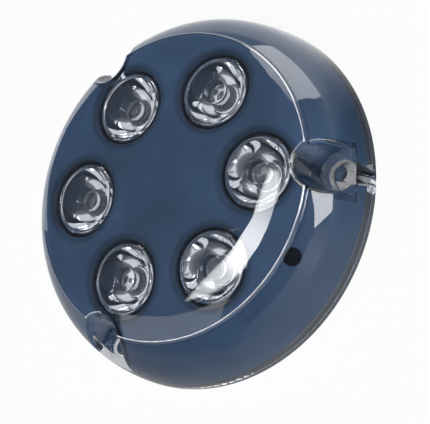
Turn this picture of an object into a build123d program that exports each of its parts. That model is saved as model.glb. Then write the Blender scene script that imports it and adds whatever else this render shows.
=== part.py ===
from build123d import *
import os
from math import asin, atan2, cos, degrees, hypot, radians, sin, sqrt

# Round surface-mounted underwater light: a clear domed housing over a dark carrier that holds six
# optics, with three screw recesses in its skirt. Millimetres. The origin is the centre of the
# mounting face, +Z points out of the light's front, and +X runs through the first screw recess.

# Clear housing, outside shape
base_diameter = 130.0  # across the mounting face
crown_height = 31.0  # mounting face to the top of the front
crown_sag = 2.4  # drop of the gentle dome, from its top to where its rounded edge starts
crown_drop = 4.6  # drop from the top of the front down to the end of its rounded edge
shoulder_width = 9.9  # radial width of the rounded edge of the front
skirt_width = 11.1  # radial width of the bulging skirt outside the front
face_step = 1.4  # the front stands this far above the skirt
step_lean = 0.2  # draft of that small step
knee_height = 12.0  # where the steep lower skirt turns into its rounder top
knee_inset = 1.7
valley_fillet = 1.2
wall = 3.0

# Screw recesses and mounting holes
recess_count = 3
hole_inset = 7.5  # mounting hole centre, in from the outer diameter
hole_radius = 2.6
ledge_height = 10.8  # floor of the recess above the mounting face
recess_radius = 7.6  # half the width of the recess at its floor
recess_draft = 2.5  # degrees
recess_edge_fillet = 1.2
column_wall = 2.4  # clear wall round the recess at its floor
spot_face_radius = 5.2  # machined seat for the screw's head
spot_face_depth = 0.3
ledge_wall = 3.0  # clear plastic under the recess floor
column_radius = 5.0  # clear column round the mounting hole, below the ledge
column_rib = 1.5  # half the width of the rib that joins the column to the skirt

# Closing the back
plate_thickness = 2.6
gasket_thickness = 0.6
gasket_gap = 0.05  # gasket to housing
sealant_width = 1.0  # ring between the back plate and the housing

# Optics
optic_count = 6
lens_radius = 11.75
lens_height = 11.2
lens_flange = 1.3
lens_flange_width = 0.6
lens_foot_radius = 4.9
lens_belly = 0.5  # how far the side of the optic bulges past a straight cone
lens_front_dip = 0.4  # the front sits this far below the rim
lens_pocket_radius = 3.9
lens_pocket_depth = 4.0
lens_front_bore_radius = 3.9
lens_front_bore_depth = 3.6
lens_draft = 0.4
lens_bulge = 1.1  # rise of the small centre lens, at either end of the optic
lens_gap_above_board = 0.8
lens_gap_below_housing = 0.9
ear_width = 3.0
ear_reach = 0.6
ear_thickness = 1.0
ear_angle = 55.0
ear_gap = 0.3  # holder to the ears
holder_wall = 0.45
holder_gap = 0.1  # holder to lens
holder_rim_drop = 0.8  # the lens stands this far out of its holder
holder_foot_height = 0.7
holder_foot_clearance = 2.1  # between the holder's foot and the foot of the lens
peg_radius = 0.75
peg_length = 1.2
peg_circle = 8.6
well_gap = 1.0  # carrier opening outside the holder
well_rounding = 1.6
well_flare_lift = 0.08  # keeps the rounded mouth clear of just touching the carrier's front
optic_gap = 0.15  # holder to the clear column of the recess

# Carrier
carrier_gap = 0.05  # the carrier is bonded into the housing
carrier_wall = 2.2
column_gap = 0.3  # carrier to the screw columns
fill_plug_angle = 327.5
fill_plug_share = 0.845  # how far up it sits, as a share of the way from the knee to the step
fill_plug_radius = 3.1
fill_plug_depth = 0.8
fill_plug_shank = 2.0
fill_plug_tail = 2.6

# Boards and heat sink
board_thickness = 1.6
pad_thickness = 0.3
pad_inset = 1.0
pad_hole_gap = 0.3
sink_thickness = 3.3
sink_gap = 0.5
board_gap = 2.2
post_radius = 3.6
post_inset = 2.5  # post edge, in from the heat sink's outer edge
screw_radius = 1.5
screw_gap = 0.05
screw_head_radius = 2.8
screw_head_height = 1.7
screw_bite = 3.0
socket_share = 0.42  # hexagon socket's corner radius, as a share of the screw head's radius
socket_floor = 0.4  # its floor, as a share of the head's height
board_screw_circle = 20.0
base_screw_length = 8.5
base_screw_drop = 0.1  # heads sit this far inside the mounting face
base_screw_gap = 0.2
thread_runout = 0.2
emitter_side = 5.0
emitter_height = 1.0
emitter_dome_radius = 1.7

driver_gap = 0.6  # tallest driver part to the heat sink
driver_outer_radius = 43.0
driver_inner_radius = 15.0
driver_screw_circle = 38.0
driver_screw_radius = 1.25
driver_head_radius = 2.2
driver_head_height = 1.3
driver_screw_floor = 1.2  # bottom of its hole above the mounting face
driver_post_radius = 3.0
coil_height = 2.6
coil_foot_height = 0.8
coil_foot_side = 7.0
coil_rounding = 0.5
link_circle = 27.0
link_spread = 8.0  # degrees between the two link pins
link_angle = 90.0
link_radius = 0.5
pin_stub = 0.8  # pins stand this far out of the emitter board
sleeve_radius = 1.2

# Cable inlet
inlet_boss_radius = 12.4
inlet_boss_height = 6.6
inlet_pocket_radius = 10.2
inlet_pocket_depth = 4.4
cable_radius = 3.4
inlet_hole_radius = 3.8
inlet_nut_radius = 4.4
nut_thickness = 1.4
washer_thickness = 0.4
nut_recess = 0.4
nut_gap = 0.1
nut_slot_length = 2.4
nut_slot_width = 2.2
nut_slot_depth = 1.0
hull_seal_radius = 26.0
hull_seal_cord = 0.9
hull_seal_side_gap = 0.2

# Worked out from the values above
base_radius = base_diameter / 2
face_radius = base_radius - skirt_width
shoulder_start = face_radius - shoulder_width
crown_radius = (shoulder_start**2 + crown_sag**2) / (2 * crown_sag)
face_edge_height = crown_height - crown_drop
valley_height = face_edge_height - face_step
hole_circle_radius = base_radius - hole_inset
seat_height = plate_thickness + gasket_thickness
plate_seat_radius = base_radius - wall
holder_radius = lens_radius + holder_gap + holder_wall
recess_shell = recess_radius + column_wall
optic_circle_radius = hole_circle_radius - recess_shell - optic_gap - holder_radius
optic_tilt = degrees(asin(optic_circle_radius / crown_radius))  # the optics follow the domed front
optic_reach = lens_gap_above_board + lens_height
foot_circle_radius = optic_circle_radius - optic_reach * sin(radians(optic_tilt))
recess_angles = [360 / recess_count * i for i in range(recess_count)]
optic_angles = [360 / optic_count * i for i in range(optic_count)]
between_angles = [a + 180 / optic_count for a in optic_angles]


def moved_in(point, normal_degrees, inset):
    """A profile point moved into the solid, against a normal given by its angle above the horizontal."""
    a = radians(normal_degrees)
    return (point[0] - inset * cos(a), point[1] - inset * sin(a))


def turned(start, end, one_normal):
    """The normal at one end of the arc from start to end, from the normal at its other end."""
    across = degrees(atan2(end[1] - start[1], end[0] - start[0])) - 90
    return 2 * across - one_normal


def bend(start, end, start_normal, end_normal):
    """Centre and radius of the arc between two profile points, from their normals."""
    chord = hypot(end[0] - start[0], end[1] - start[1])
    radius = chord / (2 * sin(radians(abs(end_normal - start_normal)) / 2))
    return moved_in(start, start_normal, radius), radius


def point_on(arc, normal_degrees, inset):
    centre, radius = arc
    return moved_in(centre, normal_degrees, inset - radius)


def height_on(arc, distance, inset):
    """Height of an arc, moved in by inset, at this distance from the axis."""
    centre, radius = arc
    return centre[1] + sqrt((radius - inset) ** 2 - (distance - centre[0]) ** 2)


def radius_on(arc, height, inset):
    """Distance from the axis of an arc, moved in by inset, at this height."""
    centre, radius = arc
    return centre[0] + sqrt((radius - inset) ** 2 - (height - centre[1]) ** 2)


def arc_between(arc, start_normal, end_normal, inset):
    """The stretch of an arc, moved in by inset, between two of its normals."""
    stops = [start_normal, (start_normal + end_normal) / 2, end_normal]
    return ThreePointArc(*[point_on(arc, stop, inset) for stop in stops])


base_point = (base_radius, 0.0)
knee_point = (base_radius - knee_inset, knee_height)
valley_point = (face_radius + step_lean, valley_height)
edge_point = (face_radius, face_edge_height)
crown_normal = 90 - degrees(asin(shoulder_start / crown_radius))
shoulder_point = (shoulder_start, crown_height - crown_radius * (1 - sin(radians(crown_normal))))
knee_normal = turned(base_point, knee_point, 0.0)
valley_normal = turned(knee_point, valley_point, knee_normal)
fill_plug_slope = knee_normal + fill_plug_share * (valley_normal - knee_normal)
edge_normal = turned(edge_point, shoulder_point, crown_normal)
lower_skirt = bend(base_point, knee_point, 0, knee_normal)
upper_skirt = bend(knee_point, valley_point, knee_normal, valley_normal)
shoulder = bend(edge_point, shoulder_point, edge_normal, crown_normal)
crown = (0.0, crown_height - crown_radius), crown_radius


def section(inset):
    """Half section of the housing's shape, moved in by inset, as a face in the XZ plane."""
    edge = point_on(shoulder, edge_normal, inset)
    foot_radius = edge[0] + step_lean
    foot = (foot_radius, height_on(upper_skirt, foot_radius, inset))
    centre = upper_skirt[0]
    foot_normal = degrees(atan2(foot[1] - centre[1], foot[0] - centre[0]))
    outline = [
        Line((0, 0), (base_radius - inset, 0)),
        arc_between(lower_skirt, 0, knee_normal, inset),
        arc_between(upper_skirt, knee_normal, foot_normal, inset),
        Line(foot, edge),
        arc_between(shoulder, edge_normal, crown_normal, inset),
        arc_between(crown, crown_normal, 90, inset),
        Line((0, crown_height - inset), (0, 0)),
    ]
    return make_face(outline)


def turned_solid(face):
    """The solid that a half section sweeps round the light's axis."""
    return revolve(Plane.XZ * face, axis=Axis.Z)


def bay(radius, half_width):
    """Plan of a round round the mounting hole on +X, with a straight of this half width from it outwards."""
    straight = Pos(hole_circle_radius + base_radius / 2, 0) * Rectangle(base_radius, 2 * half_width)
    return Pos(hole_circle_radius, 0) * Circle(radius) + straight


def plain_recess(radius):
    """Plan of one screw recess along +X: round at its inner end and open outwards."""
    return bay(radius, radius)


def at_recesses(shape):
    return [Rot(Z=a) * shape for a in recess_angles]


def plan(radius, bay_width):
    """A disc with a bay of this half width round each mounting hole, open outwards."""
    return Circle(radius) - at_recesses(plain_recess(bay_width))


def plate_plan(inset):
    """Plan of the opening in the housing's back, moved in by inset."""
    return plan(plate_seat_radius - inset, column_radius + inset)


def sink_plan(inset):
    """Plan of the heat sink, moved in by inset."""
    return plan(sink_radius - inset, sink_bay + inset)


def slab(face, low, high):
    """A flat face on the XY plane made solid between two heights."""
    return Pos(0, 0, low) * extrude(face, amount=high - low)


def hollow(inset, column_room=0.0):
    """The space inside the housing, moved in by inset: domed, and clear of recesses and screw columns."""
    shells = slab(plain_recess(recess_shell + inset), ledge_height - ledge_wall - inset, 2 * crown_height)
    room = inset + column_room
    columns = slab(bay(column_radius + room, column_rib + room), -wall, ledge_height)
    return turned_solid(section(wall + inset)) - at_recesses(shells) - at_recesses(columns)


# Heights of the stack, from the front down
lens_top = height_on(crown, optic_circle_radius, wall) - lens_gap_below_housing
board_top = lens_top - optic_reach * cos(radians(optic_tilt))
board_base = board_top - board_thickness
sink_top = board_base - pad_thickness
sink_base = sink_top - sink_thickness
driver_top = sink_base - driver_gap - coil_height
driver_base = driver_top - board_thickness
sink_radius = radius_on(lower_skirt, sink_top, wall + carrier_gap + carrier_wall) - sink_gap
sink_bay = recess_shell + carrier_gap + carrier_wall + sink_gap
post_circle = sink_radius - post_inset - post_radius


def clear_housing():
    """One clear moulding: front, skirt, and the columns that carry the mounting screws."""
    body = turned_solid(section(0))
    rings = body.edges().filter_by(GeomType.CIRCLE)
    body = fillet([e for e in rings if abs(e.position_at(0).Z - valley_height) < 1e-3], valley_fillet)
    cutter = extrude(plain_recess(recess_radius), amount=crown_height, taper=-recess_draft)
    cutters = at_recesses(Pos(0, 0, ledge_height) * cutter)
    recessed = body - cutters
    cut_edges = new_edges(body, *cutters, combined=recessed)
    body = fillet([e for e in cut_edges if e.bounding_box().max.Z > ledge_height + 1e-3], recess_edge_fillet)
    hole = Pos(hole_circle_radius, 0, 0) * Cylinder(hole_radius, 3 * ledge_height)
    spot_face = Pos(hole_circle_radius, 0, ledge_height) * Cylinder(spot_face_radius, 2 * spot_face_depth)
    body -= at_recesses(hole) + at_recesses(spot_face)
    return body - hollow(0) - slab(plate_plan(0), 0, seat_height)


def at_optics(shape, tilt=0.0):
    """Copies of a shape made round the origin, one for each optic, on the board and tilted outwards."""
    place = Pos(foot_circle_radius, 0, board_top) * Rot(Y=tilt)
    return [Rot(Z=a) * place * Rot(Z=-a) * shape for a in optic_angles]


def fill_plug_place():
    """Where the fill plug's axis leaves the carrier's shoulder, pointing out."""
    at = point_on(upper_skirt, fill_plug_slope, wall + carrier_gap)
    return Rot(Z=fill_plug_angle) * Pos(at[0], 0, at[1]) * Rot(Y=90 - fill_plug_slope)


def flared_well():
    """Cutter for an optic's well, on the optic's own axis, with a rounded mouth."""
    radius = holder_radius + well_gap
    mouth_radius = radius + well_rounding
    front_radius = crown_radius - wall - carrier_gap
    sag = front_radius - sqrt(front_radius**2 - mouth_radius**2)
    mouth = optic_reach + lens_gap_below_housing - carrier_gap - sag + well_flare_lift
    start, end = (radius, mouth - well_rounding), (mouth_radius, mouth)
    outline = [
        Line((0, -board_thickness), (radius, -board_thickness)),
        Line((radius, -board_thickness), start),
        RadiusArc(start, end, well_rounding),
        Line(end, (mouth_radius, crown_height)),
        Line((mouth_radius, crown_height), (0, crown_height)),
        Line((0, crown_height), (0, -board_thickness)),
    ]
    return turned_solid(make_face(outline))


def optic_carrier():
    """Dark shell behind the clear one, with an opening for each optic and one for the fill plug."""
    seat = Pos(0, 0, wall - fill_plug_depth) * Cylinder(fill_plug_radius + screw_gap, 2 * wall)
    passage = Cylinder(fill_plug_shank + screw_gap, 4 * carrier_wall)
    body = hollow(carrier_gap, column_gap) & slab(Circle(base_radius), seat_height, crown_height)
    body -= hollow(carrier_gap + carrier_wall, column_gap)
    body -= fill_plug_place() * (seat + passage)
    return body - at_optics(flared_well(), optic_tilt)


def fill_plug():
    """Black plug in the carrier's filling port, its outer end level with the carrier."""
    head = Pos(0, 0, wall - fill_plug_depth) * Cylinder(fill_plug_radius, 2 * wall)
    shank_length = fill_plug_tail + carrier_wall
    shank = Pos(0, 0, -shank_length / 2) * Cylinder(fill_plug_shank, shank_length)
    return (fill_plug_place() * (head + shank)) & hollow(carrier_gap)


def bulged(start, end, bulge):
    """An arc between two points that bulges past their chord, to the right of its direction."""
    run, rise = end[0] - start[0], end[1] - start[1]
    middle = ((start[0] + end[0]) / 2, (start[1] + end[1]) / 2)
    share = bulge / hypot(run, rise)
    return ThreePointArc(start, (middle[0] + rise * share, middle[1] - run * share), end)


def lens_section():
    """Half section of the optic: a curved funnel with a pocket for the emitter and a front bore."""
    neck = lens_radius - lens_flange_width
    shelf = lens_height - lens_flange
    front = lens_height - lens_front_dip
    bore_floor = lens_height - lens_front_bore_depth
    pocket_roof = lens_pocket_radius - lens_draft
    bore_mouth = lens_front_bore_radius + lens_draft
    outline = [
        Line((lens_pocket_radius, 0), (lens_foot_radius, 0)),
        bulged((lens_foot_radius, 0), (neck, shelf), lens_belly),
        Line((neck, shelf), (lens_radius, shelf)),
        Line((lens_radius, shelf), (lens_radius, lens_height)),
        Line((lens_radius, lens_height), (neck, lens_height)),
        Line((neck, lens_height), (neck - lens_front_dip, front)),
        Line((neck - lens_front_dip, front), (bore_mouth, front)),
        Line((bore_mouth, front), (lens_front_bore_radius, bore_floor)),
        bulged((0, bore_floor + lens_bulge), (lens_front_bore_radius, bore_floor), -lens_bulge / 3),
        Line((0, bore_floor + lens_bulge), (0, lens_pocket_depth - lens_bulge)),
        bulged((0, lens_pocket_depth - lens_bulge), (pocket_roof, lens_pocket_depth), lens_bulge / 3),
        Line((pocket_roof, lens_pocket_depth), (lens_pocket_radius, 0)),
    ]
    return make_face(outline)


def ears(width, thickness):
    """Two ears on opposite sides of the optic, as one bar through it."""
    return Rot(Z=ear_angle) * Box(2 * (lens_radius + ear_reach), width, thickness)


def optic_lens():
    """One optic, with two ears on its rim."""
    collar = Cylinder(lens_radius - lens_flange_width / 2, 2 * ear_thickness)
    ear_pair = ears(ear_width, ear_thickness) - collar
    ear_height = lens_height - lens_flange + ear_thickness / 2
    return Pos(0, 0, lens_gap_above_board) * (turned_solid(lens_section()) + Pos(0, 0, ear_height) * ear_pair)


def holder_pegs(grow):
    """The two pegs under a holder, or with grow the holes for them in the board."""
    peg = Pos(peg_circle, 0, -peg_length / 2) * Cylinder(peg_radius + grow, peg_length + holder_foot_height)
    return [Rot(Z=ear_angle + turn) * peg for turn in (90, 270)]


def lens_holders():
    """Dark cups that hold the optics over their emitters, tilted on level feet with two pegs each."""
    bore = lens_radius + holder_gap
    shelf_bore = lens_radius - lens_flange_width + holder_gap
    rim = optic_reach - holder_rim_drop
    shelf = optic_reach - lens_flange - holder_gap
    sunk = holder_radius  # enough to reach under the level foot on the low side
    cup = Pos(0, 0, (rim - sunk) / 2) * Cylinder(holder_radius, rim + sunk)
    cup -= Pos(0, 0, shelf) * Cylinder(shelf_bore, 4 * optic_reach)
    cup -= Pos(0, 0, shelf + crown_height / 2) * Cylinder(bore, crown_height)
    cup -= Pos(0, 0, optic_reach - lens_flange) * ears(ear_width + 2 * ear_gap, 2 * ear_gap)
    cup -= Pos(0, 0, optic_reach) * ears(ear_width + 2 * ear_gap, 2 * lens_flange)
    foot = Pos(0, 0, holder_foot_height / 2) * Cylinder(shelf_bore + holder_wall, holder_foot_height)
    foot -= Cylinder(lens_foot_radius + holder_foot_clearance, 3 * holder_foot_height)
    cups = at_optics(cup, optic_tilt)
    feet = at_optics(foot + holder_pegs(0))
    above = slab(Circle(base_radius), board_top, crown_height)
    return [(cup & above) + foot for cup, foot in zip(cups, feet)]


def emitter_body():
    """Ceramic base of one light source, on the board."""
    return Pos(0, 0, emitter_height / 2) * Box(emitter_side, emitter_side, emitter_height)


def emitter_dome():
    """Clear half ball on the emitter."""
    ball = Sphere(emitter_dome_radius)
    upper = Pos(0, 0, emitter_dome_radius) * Box(*[2 * emitter_dome_radius] * 3)
    return Pos(0, 0, emitter_height) * (ball & upper)


def on_circle(shape, radius, angles):
    return [Rot(Z=a) * Pos(radius, 0, 0) * shape for a in angles]


def link_angles():
    return [link_angle - link_spread / 2, link_angle + link_spread / 2]


def board_drilling(gap):
    """Holes for the board screws and the link pins' sleeves, this much wider than what passes through."""
    screws = on_circle(Cylinder(screw_radius + gap, crown_height * 2), board_screw_circle, between_angles)
    return screws + on_circle(Cylinder(sleeve_radius + gap, crown_height * 2), link_circle, link_angles())


def led_board():
    """White board that carries the six emitters."""
    body = slab(sink_plan(board_gap), board_base, board_top)
    body -= board_drilling(screw_gap)
    return body - [hole for pair in holder_pegs(screw_gap) for hole in at_optics(pair)]


def thermal_pad():
    """Soft sheet between the emitter board and the heat sink."""
    body = slab(sink_plan(board_gap + pad_inset), sink_top, board_base)
    return body - board_drilling(pad_hole_gap)


def heat_sink():
    """Metal plate behind the board, on six posts that reach the back plate."""
    body = slab(sink_plan(0), sink_base, sink_top)
    post_length = sink_base - plate_thickness
    post = Pos(0, 0, plate_thickness + post_length / 2) * Cylinder(post_radius, post_length)
    body += on_circle(post, post_circle, between_angles)
    tapped_depth = base_screw_drop + base_screw_length + thread_runout
    body -= on_circle(Cylinder(screw_radius + screw_gap, 2 * tapped_depth), post_circle, between_angles)
    return body - board_drilling(screw_gap)


def pan_screw(radius, head_radius, head_height, length):
    """Round-headed screw with a hexagon socket, its head resting on height zero."""
    head = Pos(0, 0, head_height / 2) * Cylinder(head_radius, head_height)
    head = fillet(head.edges().group_by(Axis.Z)[-1], head_height / 2.2)
    socket = extrude(RegularPolygon(head_radius * socket_share, 6), head_height)
    shank = Pos(0, 0, -length / 2) * Cylinder(radius, length)
    return head + shank - Pos(0, 0, head_height * socket_floor) * socket


def board_screws():
    length = board_thickness + screw_bite
    screw = Pos(0, 0, board_top) * pan_screw(screw_radius, screw_head_radius, screw_head_height, length)
    return on_circle(screw, board_screw_circle, between_angles)


def countersunk_head(grow):
    """Head of a base screw, pointing up from just inside the mounting face, or with grow the room for it."""
    low = base_screw_drop - grow
    height = screw_radius + 2 * grow
    return Pos(0, 0, low + height / 2) * Cone(2 * screw_radius + grow, screw_radius - grow, height)


def base_screws():
    """Countersunk screws through the back plate into the heat sink's posts."""
    low, high = base_screw_drop + screw_radius / 2, base_screw_drop + base_screw_length
    shank = Pos(0, 0, (low + high) / 2) * Cylinder(screw_radius, high - low)
    socket_depth = base_screw_drop + socket_share * screw_radius
    socket = extrude(RegularPolygon(socket_share * screw_radius, 6), socket_depth)
    return on_circle(countersunk_head(0) + shank - socket, post_circle, between_angles)


def back_plate():
    """Plate that closes the back, with the cable inlet in its middle and posts for the driver board."""
    body = slab(plate_plan(sealant_width), 0, plate_thickness)
    body += Pos(0, 0, inlet_boss_height / 2) * Cylinder(inlet_boss_radius, inlet_boss_height)
    body -= Pos(0, 0, inlet_pocket_depth / 2) * Cylinder(inlet_pocket_radius, inlet_pocket_depth)
    body -= Cylinder(inlet_hole_radius, 3 * inlet_boss_height)
    post = Pos(0, 0, driver_base / 2) * Cylinder(driver_post_radius, driver_base)
    body += on_circle(post, driver_screw_circle, recess_angles)
    tapped = Cylinder(driver_screw_radius + screw_gap, 2 * driver_base)
    tapped = Pos(0, 0, driver_screw_floor + driver_base) * tapped
    body -= on_circle(tapped, driver_screw_circle, recess_angles)
    clearance = Cylinder(screw_radius + base_screw_gap, 3 * plate_thickness)
    body -= on_circle(clearance + countersunk_head(base_screw_gap), post_circle, between_angles)
    half_groove = hull_seal_cord + hull_seal_side_gap
    groove = Cylinder(hull_seal_radius + half_groove, 4 * hull_seal_cord)
    return body - (groove - Cylinder(hull_seal_radius - half_groove, 4 * hull_seal_cord))


def base_gasket():
    return slab(plate_plan(gasket_gap) - plate_plan(carrier_gap + carrier_wall), plate_thickness, seat_height)


def rim_sealant():
    return slab(plate_plan(0) - plate_plan(sealant_width), 0, plate_thickness)


def hull_seal():
    """Round cord in the back plate's groove, level with the mounting face."""
    return Pos(0, 0, hull_seal_cord) * Torus(hull_seal_radius, hull_seal_cord)


def gland_seal():
    height = inlet_pocket_depth - nut_recess - nut_thickness - washer_thickness
    ring = Cylinder(inlet_pocket_radius - nut_gap, height) - Cylinder(cable_radius, height)
    return Pos(0, 0, inlet_pocket_depth - height / 2) * ring


def gland_washer():
    ring = Cylinder(inlet_pocket_radius - 3 * nut_gap, washer_thickness)
    ring -= Cylinder(inlet_hole_radius, washer_thickness)
    return Pos(0, 0, nut_recess + nut_thickness + washer_thickness / 2) * ring


def gland_nut():
    """Threaded ring that squeezes the cable seal, with slots for its key."""
    ring = Cylinder(inlet_pocket_radius - nut_gap, nut_thickness) - Cylinder(inlet_nut_radius, nut_thickness)
    middle = (inlet_pocket_radius + inlet_nut_radius) / 2
    slot = Box(nut_slot_length, nut_slot_width, 2 * nut_slot_depth)
    ring -= on_circle(Pos(0, 0, -nut_thickness / 2) * slot, middle, [45, 135, 225, 315])
    return Pos(0, 0, nut_recess + nut_thickness / 2) * ring


def driver_board():
    body = slab(Circle(driver_outer_radius) - Circle(driver_inner_radius), driver_base, driver_top)
    screw_hole = Cylinder(driver_screw_radius + screw_gap, crown_height)
    body -= on_circle(screw_hole, driver_screw_circle, recess_angles)
    return body - on_circle(Cylinder(link_radius, crown_height), link_circle, link_angles())


def driver_screws():
    length = driver_top - driver_screw_floor - thread_runout
    screw = pan_screw(driver_screw_radius, driver_head_radius, driver_head_height, length)
    return on_circle(Pos(0, 0, driver_top) * screw, driver_screw_circle, recess_angles)


def chip(length, width, height, rounding=0.3):
    """A moulded part standing on the driver board."""
    block = Box(length, width, height)
    return Pos(0, 0, driver_top + height / 2) * fillet(block.edges().filter_by(Axis.Z), rounding)


def driver_coil():
    """A coil in its round core on a square foot."""
    core = Pos(0, 0, driver_top + (coil_foot_height + coil_height) / 2)
    core *= Cylinder(coil_foot_side * 0.43, coil_height - coil_foot_height)
    core = fillet(core.edges().group_by(Axis.Z)[-1], coil_rounding)
    return chip(coil_foot_side, coil_foot_side, coil_foot_height) + core


def driver_parts():
    """What is soldered to the driver board, by node name: length, width and height, circle, angles."""
    return {
        "driver_inductors": on_circle(driver_coil(), 30.0, [40, 200]),
        "driver_capacitors": on_circle(chip(3.2, 4.5, 1.8), 29.0, [60, 125, 150, 220, 260, 280]),
        "driver_controller": on_circle(chip(5.0, 6.0, 1.2), 27.0, [175]),
        "driver_diodes": on_circle(chip(2.6, 4.2, 1.1), 31.0, [300, 320]),
        "supply_terminal": on_circle(chip(6.0, 9.0, coil_height, 0.6), 20.5, [0]),
    }


def link_pins():
    """Two pins that carry current from the driver board up to the emitter board."""
    low, high = driver_base, board_top + pin_stub
    pin = Pos(0, 0, (low + high) / 2) * Cylinder(link_radius, high - low)
    return on_circle(pin, link_circle, link_angles())


def link_sleeves():
    """Insulating sleeves where the link pins pass through the heat sink."""
    low, high = driver_top, board_top
    ring = Cylinder(sleeve_radius, high - low) - Cylinder(link_radius, high - low)
    return on_circle(Pos(0, 0, (low + high) / 2) * ring, link_circle, link_angles())


def write(name, shape):
    """One STEP file for one named piece, or for a group of like pieces."""
    pieces = shape if isinstance(shape, list) else [shape]
    solids = [s for piece in pieces for s in piece.solids()]
    export_step(Compound(children=solids) if len(solids) > 1 else solids[0], f"parts/{name}.step")


def main():
    os.makedirs("parts", exist_ok=True)
    repeated = {
        "optic_lens": at_optics(optic_lens(), optic_tilt),
        "lens_holder": lens_holders(),
        "emitter": at_optics(emitter_body()),
        "emitter_dome": at_optics(emitter_dome()),
    }
    for name, shapes in repeated.items():
        for number, shape in enumerate(shapes, 1):
            write(f"{name}_{number}", shape)
    single = [clear_housing, optic_carrier, fill_plug, led_board, thermal_pad, heat_sink, board_screws]
    single += [driver_board, driver_screws, link_pins, link_sleeves, back_plate, base_gasket]
    single += [rim_sealant, base_screws, hull_seal, gland_seal, gland_washer, gland_nut]
    for make in single:
        write(make.__name__, make())
    for name, shape in driver_parts().items():
        write(name, shape)


if __name__ == "__main__":
    main()
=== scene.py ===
import math

import bmesh
import bpy
import numpy as np
from mathutils import Matrix, Vector
from mathutils.bvhtree import BVHTree


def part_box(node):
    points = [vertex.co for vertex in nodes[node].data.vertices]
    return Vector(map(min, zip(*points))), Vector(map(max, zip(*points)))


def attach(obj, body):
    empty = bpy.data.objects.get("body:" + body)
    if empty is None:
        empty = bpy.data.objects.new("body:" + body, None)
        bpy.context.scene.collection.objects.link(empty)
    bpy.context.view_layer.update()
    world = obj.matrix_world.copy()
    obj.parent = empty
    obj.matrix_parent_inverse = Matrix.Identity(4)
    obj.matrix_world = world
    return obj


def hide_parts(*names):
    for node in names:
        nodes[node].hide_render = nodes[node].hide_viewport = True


bl_info = {
    "name": "Underwater Light",
    "version": (1, 0, 0),
    "blender": (4, 5, 0),
    "location": "3D View > Sidebar > Underwater Light",
    "description": "Clear domed underwater light with a ring of tilted optics, built round its CAD frame",
    "category": "Object",
}

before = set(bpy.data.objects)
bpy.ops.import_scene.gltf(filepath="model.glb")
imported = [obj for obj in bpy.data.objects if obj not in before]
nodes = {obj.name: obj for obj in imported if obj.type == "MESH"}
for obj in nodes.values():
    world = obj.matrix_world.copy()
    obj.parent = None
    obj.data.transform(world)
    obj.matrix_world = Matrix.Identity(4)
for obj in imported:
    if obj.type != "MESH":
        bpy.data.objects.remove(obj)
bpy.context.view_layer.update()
MM = 0.001

# Places on the housing and the carrier that materials, meshes and lamps share, in metres
WALL = 3.0 * MM
CREASE_RADIUS, CREASE_HEIGHT, CREASE_WIDTH = 53.9 * MM, 26.4 * MM, 0.45 * MM
HOLE_CIRCLE, SPOT_FACE_RADIUS, SPOT_FACE_HEIGHT = 57.5 * MM, 5.25 * MM, 10.5 * MM
WELL_CIRCLE, WELL_EDGE, WELL_SHADE_END = 35.3 * MM, 13.4 * MM, 16.4 * MM


# Sizes and colours a user would change


class OpticSizes(bpy.types.PropertyGroup):
    count: bpy.props.IntProperty(
        name="Optics",
        description="How many optics stand in the ring",
        default=6,
        min=1,
    )
    circle: bpy.props.FloatProperty(
        name="Foot Circle",
        description="Radius of the circle that the emitters stand on",
        default=34.01028 * MM,
        unit="LENGTH",
        precision=5,
    )
    board_top: bpy.props.FloatProperty(
        name="Board Top",
        description="Height of the emitter board's upper face",
        default=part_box("emitter_1")[0].z,
        unit="LENGTH",
        precision=5,
    )
    tilt: bpy.props.FloatProperty(
        name="Tilt",
        description="How far each optic leans outwards, so that it follows the domed front",
        default=math.radians(4.97051),
        subtype="ANGLE",
    )
    ear_turn: bpy.props.FloatProperty(
        name="Ear Direction",
        description="Direction of the two ears on each optic, seen from the front",
        default=math.radians(55),
        subtype="ANGLE",
    )
    segments: bpy.props.IntProperty(
        name="Segments",
        description="Faces round each turned piece",
        default=96,
        min=12,
    )


class LightColours(bpy.types.PropertyGroup):
    shell: bpy.props.FloatVectorProperty(
        name="Clear Plastic",
        description="Tint of the clear housing",
        subtype="COLOR",
        default=(0.88, 0.90, 0.94),
        min=0,
        max=1,
    )
    carrier: bpy.props.FloatVectorProperty(
        name="Carrier",
        description="Slate blue of the inner body",
        subtype="COLOR",
        default=(0.053, 0.106, 0.200),
        min=0,
        max=1,
    )
    holder: bpy.props.FloatVectorProperty(
        name="Holders",
        description="Dark slate of the optics' cups",
        subtype="COLOR",
        default=(0.038, 0.062, 0.104),
        min=0,
        max=1,
    )
    back: bpy.props.FloatVectorProperty(
        name="Back Plate",
        description="Dark grey of the back",
        subtype="COLOR",
        default=(0.045, 0.055, 0.070),
        min=0,
        max=1,
    )
    floor: bpy.props.FloatVectorProperty(
        name="Floor",
        description="Pale floor under the light",
        subtype="COLOR",
        default=(0.80, 0.81, 0.82),
        min=0,
        max=1,
    )


# Shader nodes

CREASE_COAT_IOR = 2.5


def new_node(tree, kind, inputs, settings):
    """A node with its settings, and with each input linked to a socket or set to a value."""
    node = tree.nodes.new(kind)
    for key, value in settings.items():
        setattr(node, key, value)
    for key, value in (inputs or {}).items():
        socket = node.inputs[key]
        if isinstance(value, bpy.types.NodeSocket):
            tree.links.new(value, socket)
        else:
            socket.default_value = value
    return node


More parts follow.
